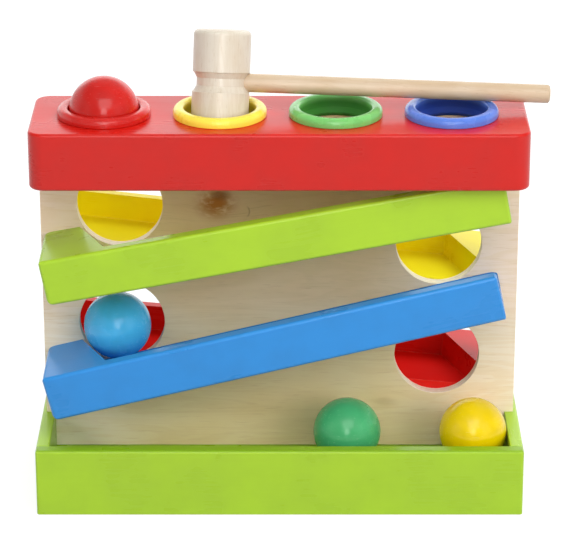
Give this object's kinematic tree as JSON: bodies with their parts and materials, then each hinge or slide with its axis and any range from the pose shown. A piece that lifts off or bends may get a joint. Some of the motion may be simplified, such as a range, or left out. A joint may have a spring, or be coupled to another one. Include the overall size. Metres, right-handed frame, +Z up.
{
  "type": "ball pounding toy",
  "caption": "Wooden ball pounding toy: balls are hammered through soft rings in a top block and roll down zigzag ramps on an upright panel into a tray.",
  "frame": {"origin": "middle of the tray's underside, under the panel's middle plane", "axes": "+X along the toy to the right as seen from the front, +Y from front to back, +Z up"},
  "size_m": [0.3355, 0.1362, 0.3225],
  "materials": {
    "lime_paint": "gloss paint",
    "red_paint": "gloss paint",
    "blue_paint": "gloss paint",
    "yellow_paint": "gloss paint",
    "plywood": "clear satin lacquer",
    "bare_wood": "smooth and uncoated",
    "dowel_wood": "uncoated",
    "red_rubber": "satin",
    "yellow_rubber": "satin",
    "green_rubber": "satin",
    "blue_rubber": "satin",
    "red_ball_paint": "gloss paint",
    "blue_ball_paint": "gloss paint",
    "green_ball_paint": "gloss paint",
    "yellow_ball_paint": "gloss paint"
  },
  "bodies": {
    "frame": {"tray_floor": "lime_paint", "tray_front_wall": "lime_paint", "tray_rear_wall": "lime_paint", "tray_left_wall": "lime_paint", "tray_right_wall": "lime_paint", "tray_dowels": "dowel_wood", "panel": "plywood", "top_block": "red_paint", "red_ring": "red_rubber", "yellow_ring": "yellow_rubber", "green_ring": "green_rubber", "blue_ring": "blue_rubber", "green_ramp": "lime_paint", "yellow_ramp": "yellow_paint", "blue_ramp": "blue_paint", "red_ramp": "red_paint", "green_ramp_dowels": "dowel_wood", "yellow_ramp_dowels": "dowel_wood", "blue_ramp_dowels": "dowel_wood", "red_ramp_dowels": "dowel_wood"},
    "red_ball": {"red_ball": "red_ball_paint"},
    "blue_ball": {"blue_ball": "blue_ball_paint"},
    "green_ball": {"green_ball": "green_ball_paint"},
    "yellow_ball": {"yellow_ball": "yellow_ball_paint"},
    "hammer": {"hammer_head": "bare_wood", "hammer_handle": "bare_wood"}
  },
  "joints": [
    {"name": "red_ball_push", "type": "slide", "parent": "frame", "child": "red_ball", "axis": [0, 0, 1], "range_m": [-0.062, 0.06], "deforming": ["red_ring"]},
    {"name": "blue_ball_roll", "type": "slide", "parent": "frame", "child": "blue_ball", "axis": [0, 1, 0], "range_m": [0, 0.033]},
    {"name": "green_ball_roll", "type": "slide", "parent": "frame", "child": "green_ball", "axis": [1, 0, 0], "range_m": [-0.17, 0.008]},
    {"name": "yellow_ball_roll", "type": "slide", "parent": "frame", "child": "yellow_ball", "axis": [1, 0, 0], "range_m": [-0.03, 0]},
    {"name": "hammer_lift", "type": "slide", "parent": "frame", "child": "hammer", "axis": [0, 0, 1], "range_m": [0, 0.09]}
  ]
}
